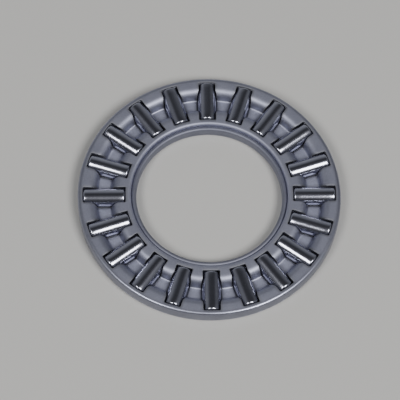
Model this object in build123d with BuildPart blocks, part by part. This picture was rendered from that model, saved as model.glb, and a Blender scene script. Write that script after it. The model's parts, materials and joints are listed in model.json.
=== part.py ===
"""Thrust needle roller and cage assembly, inch series, 5/8 in bore by 1-1/8 in outside diameter.

A flat ring of radial needle rollers held in a cage. The cage is two pressed steel rings, each
with a window for every roller. The upper ring has a deep trough along the middle, and its outer
flange closes round the lower ring. The lower ring is a flat channel inside it: the trough's
floor rests on its web, and its bore flange is curled over a ledge of the upper ring.
The rollers stand a little proud of the cage on both sides, so the load runs straight through
them from one washer or machined face to the other, and each roller turns in its own window.

Frame: origin at the centre of the ring on its middle plane, +Z along the bearing axis.
"""
from build123d import *
from math import cos, radians, sin, tan
import os

# ---- driving dimensions (mm) ------------------------------------------------
inch = 25.4
bore_radius = 5 / 8 * inch / 2          # shaft side of the cage
outer_radius = 9 / 8 * inch / 2         # housing side of the cage

roller_count = 20
roller_diameter = 5 / 64 * inch
roller_length = 4.55
roller_corner = 0.25                    # rounded corner at each roller end
roller_pitch_radius = 11.43             # bearing axis to the middle of a roller

sheet = 0.25                            # thickness of both pressed rings
cage_half_height = 0.85                 # middle plane to either flat face of the cage
seat_gap = 0.01                         # between surfaces that nest
edge_bend = 0.08                        # inside radius where a flat turns into a flange

shoulder_bend = 0.70                    # inside radius where a flat rolls into the trough
floor_bend = 0.50                       # radius of the trough's bottom corners, hidden side
trough_slope = 72                       # degrees, trough wall against the middle plane
trough_corner_offset = 1.16             # roller middle to the corner of flat and trough wall

step_radius = 8.52                      # bore-side face of the upper ring's step
step_bend = 0.05                        # inside radius of both bends of that step
lip_height = 0.55                       # middle plane to the top of the curled lip
lip_radius = 0.26                       # outside radius of the curl
curl_relief = 0.002                     # keeps the curl's two bends from meeting exactly
crimp_angle = 30                        # the upper flange's edge, turned in under the lower ring
crimp_tail = 0.02                       # straight end of that edge, past its bend
inner_wall_height = 0.45                # middle plane to the end of the nested outer flange

window_length = roller_length + 0.10    # 0.05 mm of play at each roller end
window_end_width = 1.84                 # narrower than a roller, so it keeps the roller in
window_waist_width = 2.17               # beside the roller's axis, 0.09 mm of play each side
lower_window_width = 1.68               # the flat lower web keeps the roller from dropping out
window_waist_half_length = 0.95
window_end_start = 1.45                 # roller middle to where the window is narrow again
window_corner = 0.12

# ---- worked out from them ---------------------------------------------------
roller_radius = roller_diameter / 2
flat_mid = cage_half_height - sheet / 2              # mid-thickness height of the flats
floor_mid = -flat_mid + sheet                        # trough floor, resting on the lower web
wall_run = (flat_mid - floor_mid) / tan(radians(trough_slope))
floor_corner_offset = trough_corner_offset - wall_run

step_mid = step_radius + sheet / 2
curl_mid = lip_radius - sheet / 2                    # mid-thickness radius of the curl
curl_top = lip_height - sheet / 2
curl_end = lip_height - lip_radius - seat_gap
ledge_mid = curl_end - seat_gap - sheet / 2
lower_bore_mid = bore_radius + sheet / 2

outer_mid = outer_radius - sheet / 2
nested_mid = outer_mid - sheet - seat_gap
flange_bend = edge_bend + sheet / 2                  # mid-thickness radius of the flange bends
crimp_bend = flange_bend + sheet + seat_gap          # the crimp follows the bend inside it
crimp_corner = -flat_mid + flange_bend - crimp_bend * tan(radians(crimp_angle) / 2)
crimp_length = crimp_bend * tan(radians(crimp_angle) / 2) + crimp_tail

os.makedirs("parts", exist_ok=True)

# ---- roller windows ---------------------------------------------------------
half_length = window_length / 2
half_end = window_end_width / 2
half_waist = window_waist_width / 2

# in the upper ring they widen where the trough's walls pass the rollers' axes
with BuildSketch() as waisted_windows:
    with PolarLocations(roller_pitch_radius, roller_count):
        Polygon(
            (half_length, half_end),
            (window_end_start, half_end),
            (window_waist_half_length, half_waist),
            (-window_waist_half_length, half_waist),
            (-window_end_start, half_end),
            (-half_length, half_end),
            (-half_length, -half_end),
            (-window_end_start, -half_end),
            (-window_waist_half_length, -half_waist),
            (window_waist_half_length, -half_waist),
            (window_end_start, -half_end),
            (half_length, -half_end),
            align=None,
        )
    fillet(waisted_windows.vertices(), window_corner)

with BuildSketch() as straight_windows:
    with PolarLocations(roller_pitch_radius, roller_count):
        RectangleRounded(window_length, lower_window_width, window_corner)

# ---- upper ring: ledge, step, flat, trough, flat, outer flange, crimped edge -
with BuildPart() as cage_upper:
    with BuildSketch(Plane.XZ) as upper_section:
        with BuildLine():
            FilletPolyline(
                (bore_radius + sheet + seat_gap, ledge_mid),
                (step_mid, ledge_mid),
                (step_mid, flat_mid),
                (roller_pitch_radius - trough_corner_offset, flat_mid),
                (roller_pitch_radius - floor_corner_offset, floor_mid),
                (roller_pitch_radius + floor_corner_offset, floor_mid),
                (roller_pitch_radius + trough_corner_offset, flat_mid),
                (outer_mid, flat_mid),
                (outer_mid, crimp_corner),
                (
                    outer_mid - crimp_length * sin(radians(crimp_angle)),
                    crimp_corner - crimp_length * cos(radians(crimp_angle)),
                ),
                radius=[
                    step_bend + sheet / 2,
                    step_bend + sheet / 2,
                    shoulder_bend + sheet / 2,
                    floor_bend - sheet / 2,
                    floor_bend - sheet / 2,
                    shoulder_bend + sheet / 2,
                    flange_bend,
                    crimp_bend,
                ],
            )
        trace(line_width=sheet)
    revolve(axis=Axis.Z)
    extrude(waisted_windows.sketch, amount=outer_radius, both=True, mode=Mode.SUBTRACT)

# ---- lower ring: curled bore lip, flat web, nested outer flange --------------
with BuildPart() as cage_lower:
    with BuildSketch(Plane.XZ) as lower_section:
        with BuildLine():
            FilletPolyline(
                (lower_bore_mid + 2 * curl_mid, curl_end),
                (lower_bore_mid + 2 * curl_mid, curl_top),
                (lower_bore_mid, curl_top),
                (lower_bore_mid, -flat_mid),
                (nested_mid, -flat_mid),
                (nested_mid, inner_wall_height),
                radius=[
                    curl_mid - curl_relief,
                    curl_mid - curl_relief,
                    flange_bend,
                    flange_bend,
                ],
            )
        trace(line_width=sheet)
    revolve(axis=Axis.Z)
    extrude(straight_windows.sketch, amount=outer_radius, both=True, mode=Mode.SUBTRACT)

for name, ring in {"cage_upper": cage_upper, "cage_lower": cage_lower}.items():
    ring.part.label = name
    export_step(ring.part, f"parts/{name}.step")

# ---- needle rollers: one every 18 degrees, axes pointing at the centre ------
for index, place in enumerate(PolarLocations(roller_pitch_radius, roller_count).locations):
    with BuildPart(Plane(place) * Location((0, 0, 0), (0, 90, 0))) as roller:
        Cylinder(roller_radius, roller_length)
        fillet(roller.edges().filter_by(GeomType.CIRCLE), roller_corner)
    roller.part.label = f"roller_{index + 1:02d}"
    export_step(roller.part, f"parts/{roller.part.label}.step")
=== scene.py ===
import json
from math import acos, asin, cos, exp, pi, radians, sin, sqrt, tan

import bmesh
import bpy
from mathutils import Euler, Matrix, Vector


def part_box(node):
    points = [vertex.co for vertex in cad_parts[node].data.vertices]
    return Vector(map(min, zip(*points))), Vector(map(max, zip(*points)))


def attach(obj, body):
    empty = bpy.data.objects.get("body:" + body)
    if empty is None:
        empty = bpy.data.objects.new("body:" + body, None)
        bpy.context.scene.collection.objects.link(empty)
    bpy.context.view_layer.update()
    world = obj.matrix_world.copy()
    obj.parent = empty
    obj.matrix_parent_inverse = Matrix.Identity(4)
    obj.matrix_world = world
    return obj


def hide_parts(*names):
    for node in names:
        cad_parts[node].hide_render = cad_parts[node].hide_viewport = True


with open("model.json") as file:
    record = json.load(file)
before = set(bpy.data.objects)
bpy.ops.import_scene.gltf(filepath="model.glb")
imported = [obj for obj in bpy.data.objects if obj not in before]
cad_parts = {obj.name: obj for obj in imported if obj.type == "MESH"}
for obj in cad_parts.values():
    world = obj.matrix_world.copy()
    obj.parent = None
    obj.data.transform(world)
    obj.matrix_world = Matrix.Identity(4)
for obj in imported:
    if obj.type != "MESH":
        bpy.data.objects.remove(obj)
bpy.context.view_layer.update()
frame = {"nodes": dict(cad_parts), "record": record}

# A thrust needle roller and cage assembly: two nested pressed steel rings with a window for
# every roller, and polished rollers that lie in the windows. Lengths are metres.
MM = 0.001

# ---- sizes read from the frame ----------------------------------------------
roller_names = sorted(name for name in frame["nodes"] if name.startswith("roller"))
ROLLER_COUNT = len(roller_names)
PITCH_ANGLE = 2 * pi / ROLLER_COUNT

first_low, first_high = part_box("roller_01")
ROLLER_RADIUS = (first_high[2] - first_low[2]) / 2
ROLLER_LENGTH = first_high[0] - first_low[0]
ROLLER_MIDDLE = (first_high[0] + first_low[0]) / 2
FLOOR_HEIGHT = first_low[2]

OUTER_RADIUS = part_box("cage_upper")[1][0]
HALF_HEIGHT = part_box("cage_upper")[1][2]
LIP_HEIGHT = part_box("cage_lower")[1][2]
mounts = {mount["name"]: mount for mount in frame["record"]["mounts"]}
BORE_RADIUS = mounts["bore"]["dims"]["r_mm"] * MM

# ---- sheet metal, as in the CAD ---------------------------------------------
SHEET = 0.25 * MM
SEAT_GAP = 0.01 * MM                # between surfaces that nest
EDGE_BEND = 0.08 * MM               # inside radius of the bends into the flanges
SHOULDER_BEND = 0.70 * MM           # inside radius where a flat rolls into the trough
FLOOR_BEND = 0.50 * MM              # radius of the trough's bottom corners, hidden side
TROUGH_SLOPE = radians(72)
TROUGH_CORNER = 1.16 * MM           # roller middle to the corner of flat and trough wall
STEP_RADIUS = 8.52 * MM             # bore-side face of the upper ring's step
STEP_BEND = 0.05 * MM
CURL_RADIUS = 0.26 * MM             # outside radius of the curled lip
CRIMP_ANGLE = radians(30)           # the outer flange's edge, turned in under the lower ring
INNER_WALL_HEIGHT = 0.45 * MM       # middle plane to the end of the nested flange
FLAT_MID = HALF_HEIGHT - SHEET / 2  # mid-thickness height of the flats
FLOOR_MID = SHEET - FLAT_MID        # the trough floor rests on the lower web

WINDOW_LENGTH = ROLLER_LENGTH + 0.10 * MM
UPPER_END_WIDTH = 1.84 * MM
UPPER_WAIST_WIDTH = 2.17 * MM
LOWER_WIDTH = 1.68 * MM             # the lower ring's windows have straight sides
WINDOW_WAIST = 0.95 * MM            # half the length of the wide middle
WINDOW_END_START = 1.45 * MM        # roller middle to where the window is narrow again
WINDOW_CORNER = 0.12 * MM
CUT_ROUNDING = 0.025 * MM           # rounded edge that the press leaves on a cut
# points on that rounding, as shares of it: away from the window, and into the sheet
CUT_STEPS = ((0.29, 0.29), (0.0, 1.0))
LIP_ROUNDING = 0.45 * SHEET
CURL_RELIEF = 0.002 * MM            # keeps the curl's two bends from meeting exactly
CRIMP_TAIL = 0.02 * MM              # straight end of the crimped edge, past its bend

# painted shade and light: how much darker than its flats each part of the sheet is; brighter if
# negative
LIP_SHADE = 0.30
STEP_SHADE = -0.35
FLANGE_SHADE = 0.34
TROUGH_WALL_SHADE = 0.26
TROUGH_FLOOR_SHADE = -0.32
# painted shade beside the rollers at the bottom of the trough, and how far it reaches
PAINTED_ROLLER_SHADE = 0.60                    # beside a roller, at the bottom of the trough
PAINTED_ROLLER_SHADE_WIDTH = 0.26 * MM
BELOW_FLOOR = 1.01                  # deeper than this share of the trough, the sheet isn't in it

# how much painted shade each edge gets, from 0 to 1, and how far the die polished the sheet
EDGE_SHADE_FLANGE_END = 0.6
EDGE_SHADE_WINDOW_RIM = 0.8
EDGE_SHADE_CUT_WALL = 1.0
BEND_POLISH = 1.4
RIM_POLISH_START = 0.45 * MM        # in from the outside, where the rim's polish starts
RIM_POLISH_WIDTH = 0.25 * MM        # and how far it takes to be full

ARC_STEP = radians(9)
FLAT_STEP = 0.32 * MM
ROW_SPACING = 0.04 * MM             # rows on a flat that lie closer to a window's row are left out
TOLERANCE = 1e-8
WINDOW_COLUMNS = 8
BRIDGE_COLUMNS = 8
CAP_STEPS = 4


def rounded_path(corners, radii):
    """Stations (r, z, direction) along a polyline whose inner corners are rounded."""
    points = [Vector(c) for c in corners]
    stations = []

    def straight(a, b):
        steps = max(1, round((b - a).length / FLAT_STEP))
        direction = (b - a).normalized()
        for k in range(steps):
            p = a.lerp(b, k / steps)
            stations.append((p.x, p.y, direction.x, direction.y))

    here = points[0]
    for before, corner, after, radius in zip(points, points[1:], points[2:], radii):
        d_in, d_out = (corner - before).normalized(), (after - corner).normalized()
        turn = acos(max(-1.0, min(1.0, d_in.dot(d_out))))
        setback = radius * tan(turn / 2)
        start, end = corner - d_in * setback, corner + d_out * setback
        straight(here, start)
        side = 1 if d_in.x * d_out.y - d_in.y * d_out.x > 0 else -1
        centre = start + Vector((-d_in.y, d_in.x)) * side * radius
        steps = max(2, round(turn / ARC_STEP))
        for k in range(steps):
            swing = side * turn * k / steps
            arm = start - centre
            spoke = Vector((arm.x * cos(swing) - arm.y * sin(swing),
                            arm.x * sin(swing) + arm.y * cos(swing)))
            way = Vector((d_in.x * cos(swing) - d_in.y * sin(swing),
                          d_in.x * sin(swing) + d_in.y * cos(swing)))
            stations.append((centre.x + spoke.x, centre.y + spoke.y, way.x, way.y))
        here = end
    straight(here, points[-1])
    last = (points[-1] - here).normalized()
    stations.append((points[-1].x, points[-1].y, last.x, last.y))
    return stations


def window_rows():
    """Radii at which a window's outline turns, so that the mesh has a row there."""
    half = WINDOW_LENGTH / 2
    offsets = [0.0, WINDOW_WAIST, WINDOW_END_START]
    offsets += [half - WINDOW_CORNER * (1 - cos(radians(a))) for a in (0, 30, 60, 90)]
    return sorted({ROLLER_MIDDLE + side * o for o in offsets for side in (-1, 1)})


def insert_rows(stations, radii):
    """Adds a station at each of these radii, in place of others on a flat that lie too close."""
    def crowds(station):
        on_flat = station[3] == 0.0
        return on_flat and any(abs(station[0] - radius) < ROW_SPACING for radius in radii)

    out = [s for s in stations if not crowds(s)]
    for radius in radii:
        for k in range(len(out) - 1):
            (r0, z0, *way), (r1, z1, *_) = out[k], out[k + 1]
            if r0 < radius < r1:
                f = (radius - r0) / (r1 - r0)
                out.insert(k + 1, (radius, z0 + f * (z1 - z0), *way))
                break
    return out


def window_half_width(r, waist_width, end_width):
    """Half the width of a window at radius r, its rounded end corners included."""
    offset = abs(r - ROLLER_MIDDLE)
    f = (offset - WINDOW_WAIST) / (WINDOW_END_START - WINDOW_WAIST)
    f = max(0.0, min(1.0, f))
    width = (waist_width * (1 - f) + end_width * f) / 2
    to_end = WINDOW_LENGTH / 2 - offset
    if to_end < WINDOW_CORNER:
        left = WINDOW_CORNER - max(0.0, to_end)
        width += sqrt(max(0.0, WINDOW_CORNER ** 2 - left ** 2)) - WINDOW_CORNER
    return width


def painted_light_and_shade(r, z, dz, from_window):
    """Painted shade and light on the sheet, as a share darker than its flats, brighter if
    negative: painted shade on the walls, the lip and beside the rollers, painted light on the
    step's wall and the trough floor.
    """
    # painted shade on the lip, painted light on the step's wall
    if z > 0 and r < BORE_RADIUS + 2 * CURL_RADIUS:
        return LIP_SHADE
    if z > 0 and r < STEP_RADIUS + SHEET:
        return STEP_SHADE * dz ** 2
    depth = (FLAT_MID - z) / (FLAT_MID - FLOOR_MID)
    # painted shade on the walls of the flanges
    if abs(r - ROLLER_MIDDLE) > TROUGH_CORNER + SHEET or depth > BELOW_FLOOR:
        return FLANGE_SHADE * dz ** 4
    # painted shade beside the rollers, fading away from the window's edge; painted shade on the
    # trough walls, painted light on its floor
    roller_shade = PAINTED_ROLLER_SHADE * depth * exp(-from_window / PAINTED_ROLLER_SHADE_WIDTH)
    return TROUGH_WALL_SHADE * dz ** 4 + roller_shade + TROUGH_FLOOR_SHADE * depth * (1 - abs(dz))


def die_polish(r, dz):
    """How far the die polished the sheet: most at the outer rim, less on the trough's bends."""
    if abs(r - ROLLER_MIDDLE) < 2 * TROUGH_CORNER:
        return BEND_POLISH * abs(dz) * (1 - abs(dz))
    from_start = r - OUTER_RADIUS + RIM_POLISH_START
    return max(0.0, min(1.0, from_start / RIM_POLISH_WIDTH))


def pressed_ring(name, corners, radii, waist_width, end_width):
    """A ring of sheet metal along this section, with a window cut for every roller."""
    path = insert_rows(rounded_path(corners, radii), window_rows())
    (r, z, dr, dz), (r2, z2, dr2, dz2) = path[0], path[-1]
    path[0] = (r + dr * LIP_ROUNDING, z + dz * LIP_ROUNDING, dr, dz)
    path[-1] = (r2 - dr2 * LIP_ROUNDING, z2 - dz2 * LIP_ROUNDING, dr2, dz2)
    inner_end = ROLLER_MIDDLE - WINDOW_LENGTH / 2
    outer_end = ROLLER_MIDDLE + WINDOW_LENGTH / 2
    columns = WINDOW_COLUMNS + BRIDGE_COLUMNS

    bm = bmesh.new()
    painted_edge_shade = bm.verts.layers.float.new("painted_edge_shade")
    shade = bm.verts.layers.float.new("shade")
    polish = bm.verts.layers.float.new("polish")

    def is_open(r):
        return inner_end + TOLERANCE < r < outer_end - TOLERANCE

    def edge_angle(r):
        bounded = max(inner_end, min(outer_end, r))
        return asin(window_half_width(bounded, waist_width, end_width) / bounded)

    def column_angle(c, edge):
        if c <= WINDOW_COLUMNS:
            return edge * (2 * c / WINDOW_COLUMNS - 1)
        return edge + (PITCH_ANGLE - 2 * edge) * (c - WINDOW_COLUMNS) / BRIDGE_COLUMNS

    def angle_from_window(c, edge):
        steps = max(0, min(c - WINDOW_COLUMNS, columns - c))
        return steps * (PITCH_ANGLE - 2 * edge) / BRIDGE_COLUMNS

    # both faces of the sheet: a row of points for each station of the path
    rows = {}
    for side in (1, -1):
        for k, (r, z, dr, dz) in enumerate(path):
            surface_r = r - dz * side * SHEET / 2
            surface_z = z + dr * side * SHEET / 2
            edge = edge_angle(surface_r)
            row = []
            for j in range(ROLLER_COUNT * columns):
                i, c = divmod(j, columns)
                if is_open(r) and 0 < c < WINDOW_COLUMNS:
                    row.append(None)
                    continue
                angle = i * PITCH_ANGLE + column_angle(c, edge)
                place = (surface_r * cos(angle), surface_r * sin(angle), surface_z)
                vert = bm.verts.new(place)
                # painted shade and light for this point
                vert[shade] = painted_light_and_shade(r, z, dz, surface_r * angle_from_window(c, edge))
                vert[polish] = die_polish(surface_r, dz)
                row.append(vert)
            rows[side, k] = row

    def bridge(row_a, row_b):
        for j in range(len(row_a)):
            n = (j + 1) % len(row_a)
            quad = (row_a[j], row_a[n], row_b[n], row_b[j])
            if None not in quad:
                bm.faces.new(quad)

    for side in (1, -1):
        for k in range(len(path) - 1):
            bridge(rows[side, k], rows[side, k + 1])

    # rounded flange ends
    for k, way in ((0, -1), (len(path) - 1, 1)):
        r, z, dr, dz = path[k]
        edge = edge_angle(r)
        flat = SHEET / 2 - LIP_ROUNDING
        previous = rows[1, k]
        for step in range(1, 2 * CAP_STEPS):
            swing = pi * step / (2 * CAP_STEPS)
            across = cos(swing) * LIP_ROUNDING + (flat if cos(swing) > 0 else -flat)
            along = sin(swing) * LIP_ROUNDING * way
            ring_r = r - dz * across + dr * along
            ring_z = z + dr * across + dz * along
            row = []
            for j in range(ROLLER_COUNT * columns):
                i, c = divmod(j, columns)
                angle = i * PITCH_ANGLE + column_angle(c, edge)
                vert = bm.verts.new((ring_r * cos(angle), ring_r * sin(angle), ring_z))
                # painted shade on the rounded flange ends
                vert[painted_edge_shade] = EDGE_SHADE_FLANGE_END
                row.append(vert)
            bridge(previous, row)
            previous = row
        bridge(previous, rows[-1, k])

    # cut walls of the windows, with the sheet's edges slightly rounded
    opening = [k for k, s in enumerate(path)
               if inner_end - TOLERANCE < s[0] < outer_end + TOLERANCE]
    first, last = opening[0], opening[-1]
    loop = [(k, WINDOW_COLUMNS) for k in opening]
    loop += [(last, c) for c in range(WINDOW_COLUMNS - 1, 0, -1)]
    loop += [(k, 0) for k in reversed(opening)]
    loop += [(first, c) for c in range(1, WINDOW_COLUMNS)]
    for i in range(ROLLER_COUNT):
        centre_angle = i * PITCH_ANGLE
        axis = Vector((cos(centre_angle), sin(centre_angle), 0))
        centre = axis * ROLLER_MIDDLE
        top = [rows[1, k][i * columns + c] for k, c in loop]
        bottom = [rows[-1, k][i * columns + c] for k, c in loop]
        tops = [v.co.copy() for v in top]
        bottoms = [v.co.copy() for v in bottom]
        rings = [[], [], [], []]
        for n in range(len(loop)):
            along = tops[(n + 1) % len(loop)] - tops[n - 1]
            out = Vector((along.y, -along.x, 0)).normalized()
            if out.dot(tops[n] - centre) < 0:
                out.negate()
            down = (bottoms[n] - tops[n]).normalized()
            for ring, (start, sign, (shift, depth)) in zip(rings, (
                    (tops[n], 1, CUT_STEPS[0]), (tops[n], 1, CUT_STEPS[1]),
                    (bottoms[n], -1, CUT_STEPS[1]), (bottoms[n], -1, CUT_STEPS[0]))):
                place = start + (out * shift + down * sign * depth) * CUT_ROUNDING
                vert = bm.verts.new(place)
                # painted shade on the cut walls
                vert[painted_edge_shade] = EDGE_SHADE_CUT_WALL
                ring.append(vert)
            top[n].co = tops[n] + out * CUT_ROUNDING
            bottom[n].co = bottoms[n] + out * CUT_ROUNDING
            # painted shade on the window's rim
            top[n][painted_edge_shade] = bottom[n][painted_edge_shade] = EDGE_SHADE_WINDOW_RIM
        strips = [top, *rings, bottom]
        for ring_a, ring_b in zip(strips, strips[1:]):
            for n in range(len(loop)):
                m = (n + 1) % len(loop)
                bm.faces.new((ring_a[n], ring_a[m], ring_b[m], ring_b[n]))

    return finished(name, bm)


def finished(name, bm):
    """Closes a bmesh into a smooth-shaded object, with flats that stay flat."""
    bmesh.ops.recalc_face_normals(bm, faces=bm.faces)
    mesh = bpy.data.meshes.new(name)
    bm.to_mesh(mesh)
    bm.free()
    mesh.shade_smooth()
    piece = bpy.data.objects.new(name, mesh)
    bpy.context.scene.collection.objects.link(piece)
    flats = piece.modifiers.new("flats", "WEIGHTED_NORMAL")
    flats.weight = 60
    flats.keep_sharp = True
    return piece


# ---- materials --------------------------------------------------------------
def node_tools(name):
    """A new material with its shader, and short ways to add and join nodes."""
    material = bpy.data.materials.new(name)
    material.use_nodes = True
    nodes, links = material.node_tree.nodes, material.node_tree.links
    shader = nodes["Principled BSDF"]

    def add(kind, **values):
        node = nodes.new(kind)
        for key, value in values.items():
            if key in node.inputs:
                node.inputs[key].default_value = value
            else:
                setattr(node, key, value)
        return node

    return material, shader, add, links.new


def ramp(add, low, high, low_colour, high_colour):
    """A colour ramp between two stops."""
    node = add("ShaderNodeValToRGB")
    start, end = node.color_ramp.elements
    start.position, end.position = low, high
    start.color, end.color = (*low_colour, 1), (*high_colour, 1)
    return node


def cage_steel():
    """Hardened pressed sheet: satin, grey-blue, finely mottled; painted shade on its cut edges,
    and painted shade and light from the shade attribute.
    """
    material, shader, add, join = node_tools("cage_steel")
    where = add("ShaderNodeTexCoord")
    patches = add("ShaderNodeTexNoise", Scale=420.0, Detail=4.0, Roughness=0.6)
    grain = add("ShaderNodeTexNoise", Scale=7000.0, Detail=5.0, Roughness=0.65)
    for noise in (patches, grain):
        join(where.outputs["Object"], noise.inputs["Vector"])

    tint = ramp(add, 0.3, 0.7, (0.445, 0.468, 0.56), (0.525, 0.548, 0.64))
    join(patches.outputs["Fac"], tint.inputs["Fac"])
    speckle = ramp(add, 0.3, 0.72, (0.84, 0.84, 0.85), (1.06, 1.06, 1.06))
    join(grain.outputs["Fac"], speckle.inputs["Fac"])
    mottled = add("ShaderNodeMix", data_type="RGBA", blend_type="MULTIPLY")
    mottled.inputs[0].default_value = 1.0
    join(tint.outputs["Color"], mottled.inputs[6])
    join(speckle.outputs["Color"], mottled.inputs[7])
    # painted shade and light: the shade attribute darkens the colour, or brightens it where
    # negative
    painted_tone = add("ShaderNodeAttribute", attribute_name="shade")
    left = add("ShaderNodeMath", operation="SUBTRACT")
    left.inputs[0].default_value = 1.0
    join(painted_tone.outputs["Fac"], left.inputs[1])
    shaded = add("ShaderNodeVectorMath", operation="SCALE")
    join(mottled.outputs[2], shaded.inputs[0])
    join(left.outputs["Value"], shaded.inputs["Scale"])
    # painted shade on the cut edges: the colour is mixed toward a darker grey
    edge_shade_amount = add("ShaderNodeAttribute", attribute_name="painted_edge_shade")
    edges = add("ShaderNodeMix", data_type="RGBA")
    edges.inputs[7].default_value = (0.36, 0.37, 0.40, 1)
    join(edge_shade_amount.outputs["Fac"], edges.inputs[0])
    join(shaded.outputs["Vector"], edges.inputs[6])
    join(edges.outputs[2], shader.inputs["Base Color"])

    rough = add("ShaderNodeMapRange")
    rough.inputs["To Min"].default_value = 0.54
    rough.inputs["To Max"].default_value = 0.66
    join(grain.outputs["Fac"], rough.inputs["Value"])
    rim = add("ShaderNodeAttribute", attribute_name="polish")
    smoother = add("ShaderNodeMix")
    smoother.inputs[3].default_value = 0.38
    join(rim.outputs["Fac"], smoother.inputs[0])
    join(rough.outputs["Result"], smoother.inputs[2])
    join(smoother.outputs[0], shader.inputs["Roughness"])

    bump = add("ShaderNodeBump", Strength=0.25, Distance=0.004 * MM)
    join(grain.outputs["Fac"], bump.inputs["Height"])
    join(bump.outputs["Normal"], shader.inputs["Normal"])
    shader.inputs["Metallic"].default_value = 1.0
    return material


def roller_steel():
    """Ground and polished bearing steel, with fine grinding lines round each roller."""
    material, shader, add, join = node_tools("roller_steel")
    where = add("ShaderNodeTexCoord")
    stretch = add("ShaderNodeMapping")
    stretch.inputs["Scale"].default_value = (9000.0, 400.0, 400.0)
    join(where.outputs["Object"], stretch.inputs["Vector"])
    lines = add("ShaderNodeTexNoise", Scale=1.0, Detail=3.0, Roughness=0.6)
    join(stretch.outputs["Vector"], lines.inputs["Vector"])
    cloud = add("ShaderNodeTexNoise", Scale=900.0, Detail=3.0, Roughness=0.5)
    join(where.outputs["Object"], cloud.inputs["Vector"])

    tint = ramp(add, 0.3, 0.7, (0.48, 0.495, 0.57), (0.55, 0.565, 0.64))
    join(cloud.outputs["Fac"], tint.inputs["Fac"])
    join(tint.outputs["Color"], shader.inputs["Base Color"])
    rough = add("ShaderNodeMapRange")
    rough.inputs["To Min"].default_value = 0.20
    rough.inputs["To Max"].default_value = 0.24
    join(lines.outputs["Fac"], rough.inputs["Value"])
    join(rough.outputs["Result"], shader.inputs["Roughness"])
    bump = add("ShaderNodeBump", Strength=0.03, Distance=0.0006 * MM)
    join(lines.outputs["Fac"], bump.inputs["Height"])
    join(bump.outputs["Normal"], shader.inputs["Normal"])
    shader.inputs["Metallic"].default_value = 1.0
    return material


# ---- the two cage rings -----------------------------------------------------
floor_corner = TROUGH_CORNER - (FLAT_MID - FLOOR_MID) / tan(TROUGH_SLOPE)
curl_mid = CURL_RADIUS - SHEET / 2
curl_top = LIP_HEIGHT - SHEET / 2
curl_end = LIP_HEIGHT - CURL_RADIUS - SEAT_GAP
curl_bend = curl_mid - CURL_RELIEF
ledge_mid = curl_end - SEAT_GAP - SHEET / 2
step_bend = STEP_BEND + SHEET / 2

bore_mid = BORE_RADIUS + SHEET / 2
outer_mid = OUTER_RADIUS - SHEET / 2
nested_mid = outer_mid - SHEET - SEAT_GAP
flange_bend = EDGE_BEND + SHEET / 2
crimp_bend = flange_bend + SHEET + SEAT_GAP
crimp_setback = crimp_bend * tan(CRIMP_ANGLE / 2)
crimp_length = crimp_setback + CRIMP_TAIL
crimp_corner = -FLAT_MID + flange_bend - crimp_setback
shoulder_bend = SHOULDER_BEND + SHEET / 2
floor_bend = FLOOR_BEND - SHEET / 2

upper_section = [
    (BORE_RADIUS + SHEET + SEAT_GAP, ledge_mid),
    (STEP_RADIUS + SHEET / 2, ledge_mid),
    (STEP_RADIUS + SHEET / 2, FLAT_MID),
    (ROLLER_MIDDLE - TROUGH_CORNER, FLAT_MID),
    (ROLLER_MIDDLE - floor_corner, FLOOR_MID),
    (ROLLER_MIDDLE + floor_corner, FLOOR_MID),
    (ROLLER_MIDDLE + TROUGH_CORNER, FLAT_MID),
    (outer_mid, FLAT_MID),
    (outer_mid, crimp_corner),
    (outer_mid - crimp_length * sin(CRIMP_ANGLE), crimp_corner - crimp_length * cos(CRIMP_ANGLE)),
]
upper_radii = [step_bend, step_bend, shoulder_bend, floor_bend, floor_bend, shoulder_bend,
               flange_bend, crimp_bend]
lower_section = [
    (bore_mid + 2 * curl_mid, curl_end),
    (bore_mid + 2 * curl_mid, curl_top),
    (bore_mid, curl_top),
    (bore_mid, -FLAT_MID),
    (nested_mid, -FLAT_MID),
    (nested_mid, INNER_WALL_HEIGHT),
]
lower_radii = [curl_bend, curl_bend, flange_bend, flange_bend]

cage_material = cage_steel()
for node, section, radii, widths in (
        ("cage_upper", upper_section, upper_radii, (UPPER_WAIST_WIDTH, UPPER_END_WIDTH)),
        ("cage_lower", lower_section, lower_radii, (LOWER_WIDTH, LOWER_WIDTH))):
    ring = pressed_ring(f"{node}_sheet", section, radii, *widths)
    ring.data.materials.append(cage_material)
    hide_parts(node)
    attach(ring, "cage")

# ---- rollers ----------------------------------------------------------------
ROLLER_CORNER = 0.25 * MM
ROLLER_SEGMENTS = 72
CORNER_STEPS = 6
BODY_STEPS = 8
CROWN = 0.002 * MM                  # relief at the ends of the rolling surface


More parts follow.
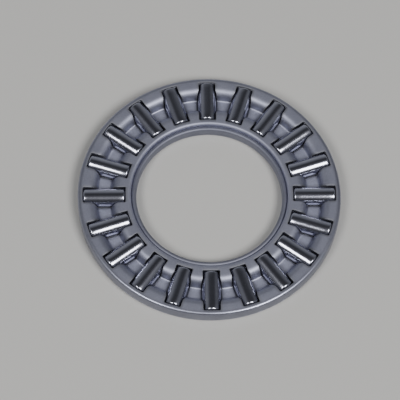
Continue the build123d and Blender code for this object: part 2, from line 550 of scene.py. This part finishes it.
def roller_mesh(name):
    """One roller along X: a very slightly crowned cylinder with rounded corners."""
    half = ROLLER_LENGTH / 2
    straight = half - ROLLER_CORNER
    section = []
    for k in range(CORNER_STEPS + 1):
        a = radians(90 * k / CORNER_STEPS)
        section.append((-straight - ROLLER_CORNER * cos(a),
                        ROLLER_RADIUS - ROLLER_CORNER * (1 - sin(a)) - CROWN))
    for k in range(1, BODY_STEPS):
        x = -straight + 2 * straight * k / BODY_STEPS
        section.append((x, ROLLER_RADIUS - CROWN * (x / straight) ** 2))
    section += [(-x, r) for x, r in reversed(section[:CORNER_STEPS + 1])]
    end_rings = [(-half, ROLLER_RADIUS * f) for f in (0.25, 0.5)]
    section = end_rings + section + [(-x, r) for x, r in reversed(end_rings)]

    bm = bmesh.new()
    rings = []
    for x, r in section:
        rings.append([bm.verts.new((x, r * cos(2 * pi * k / ROLLER_SEGMENTS),
                                    r * sin(2 * pi * k / ROLLER_SEGMENTS)))
                      for k in range(ROLLER_SEGMENTS)])
    for a, b in zip(rings, rings[1:]):
        for k in range(ROLLER_SEGMENTS):
            n = (k + 1) % ROLLER_SEGMENTS
            bm.faces.new((a[k], a[n], b[n], b[k]))
    for ring, x in ((rings[0], -half), (rings[-1], half)):
        middle = bm.verts.new((x, 0, 0))
        for k in range(ROLLER_SEGMENTS):
            bm.faces.new((ring[k], ring[(k + 1) % ROLLER_SEGMENTS], middle))
    return finished(name, bm)


roller_material = roller_steel()
for index, node in enumerate(roller_names):
    roller = roller_mesh(f"{node}_polished")
    angle = index * PITCH_ANGLE
    roller.matrix_world = (Matrix.Rotation(angle, 4, "Z")
                           @ Matrix.Translation((ROLLER_MIDDLE, 0, 0)))
    roller.data.materials.append(roller_material)
    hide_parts(node)
    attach(roller, node)

# ---- stage: floor, light and camera -----------------------------------------
bpy.ops.mesh.primitive_plane_add(size=4.0, location=(0, 0, FLOOR_HEIGHT))
floor = bpy.context.active_object
floor.name = "floor"
floor_material = bpy.data.materials.new("floor")
floor_material.use_nodes = True
floor_shader = floor_material.node_tree.nodes["Principled BSDF"]
floor_shader.inputs["Base Color"].default_value = (0.66, 0.65, 0.63, 1)
floor_shader.inputs["Roughness"].default_value = 0.85
floor.data.materials.append(floor_material)

RING_TURN = radians(4.0)            # how far the ring is turned from facing the camera
LIGHT_DISTANCE = 1.0


def direction_to(azimuth, elevation):
    """Unit vector at these angles in degrees, azimuth from the camera's right-hand side."""
    turn, rise = radians(azimuth) - RING_TURN, radians(elevation)
    return Vector((cos(turn) * cos(rise), sin(turn) * cos(rise), sin(rise)))


for name, azimuth, elevation, energy, size in (
        ("key_right", -45, 53, 4.4, 0.46), ("key_left", -133, 52, 2.7, 0.40)):
    lamp = bpy.data.lights.new(name, "AREA")
    lamp.shape = "DISK"
    lamp.size = size
    lamp.energy = energy
    light = bpy.data.objects.new(name, lamp)
    bpy.context.scene.collection.objects.link(light)
    direction = direction_to(azimuth, elevation)
    light.location = direction * LIGHT_DISTANCE
    light.rotation_euler = direction.to_track_quat("Z", "Y").to_euler()

# a dim room: a pale wall low behind the ring, and a little light from both sides
ROOM_BASE = 0.040                   # light from everywhere, under the three glows
GLOW_FULL = 0.98                    # cosine of the angle inside which a glow is full
world = bpy.data.worlds.new("room")
bpy.context.scene.world = world
world.use_nodes = True
nodes, links = world.node_tree.nodes, world.node_tree.links
room = nodes["Background"]
room.inputs["Color"].default_value = (0.93, 0.96, 1.0, 1)
where = nodes.new("ShaderNodeTexCoord")
total = None
for azimuth, elevation, start, brightness in (
        (101, -6, 0.35, 0.29), (4, 25, 0.78, 0.12), (176, 25, 0.78, 0.12)):
    facing = nodes.new("ShaderNodeVectorMath")
    facing.operation = "DOT_PRODUCT"
    facing.inputs[1].default_value = direction_to(azimuth, elevation)
    links.new(where.outputs["Generated"], facing.inputs[0])
    glow = nodes.new("ShaderNodeMapRange")
    glow.inputs["From Min"].default_value = start
    glow.inputs["From Max"].default_value = GLOW_FULL
    glow.inputs["To Max"].default_value = brightness
    links.new(facing.outputs["Value"], glow.inputs["Value"])
    both = nodes.new("ShaderNodeMath")
    both.inputs[0].default_value = ROOM_BASE
    if total is not None:
        links.new(total, both.inputs[0])
    links.new(glow.outputs["Result"], both.inputs[1])
    total = both.outputs["Value"]
links.new(total, room.inputs["Strength"])
bpy.context.scene.view_settings.view_transform = "Filmic"
bpy.context.scene.view_settings.look = "Medium High Contrast"

CAMERA_ELEVATION = radians(64.0)
CAMERA_ROLL = radians(3.2)
CAMERA_DISTANCE = 265 * MM
CAMERA_LENS = 218.6
AIM_OFFSET = Vector((-0.98, 0.12)) * MM     # the ring sits a little right of the middle
camera_data = bpy.data.cameras.new("camera")
camera_data.sensor_width = 36.0
camera_data.lens = CAMERA_LENS
camera_data.clip_start = 0.01
camera_data.clip_end = 20.0
camera = bpy.data.objects.new("camera", camera_data)
bpy.context.scene.collection.objects.link(camera)
turn = Euler((pi / 2 - CAMERA_ELEVATION, 0, -RING_TURN)).to_matrix().to_4x4()
roll = Matrix.Rotation(CAMERA_ROLL, 4, "Z")
offset = Matrix.Translation((AIM_OFFSET.x, AIM_OFFSET.y, CAMERA_DISTANCE))
camera.matrix_world = (Matrix.Translation((0, 0, FLOOR_HEIGHT)) @ turn @ roll @ offset)
bpy.context.scene.camera = camera
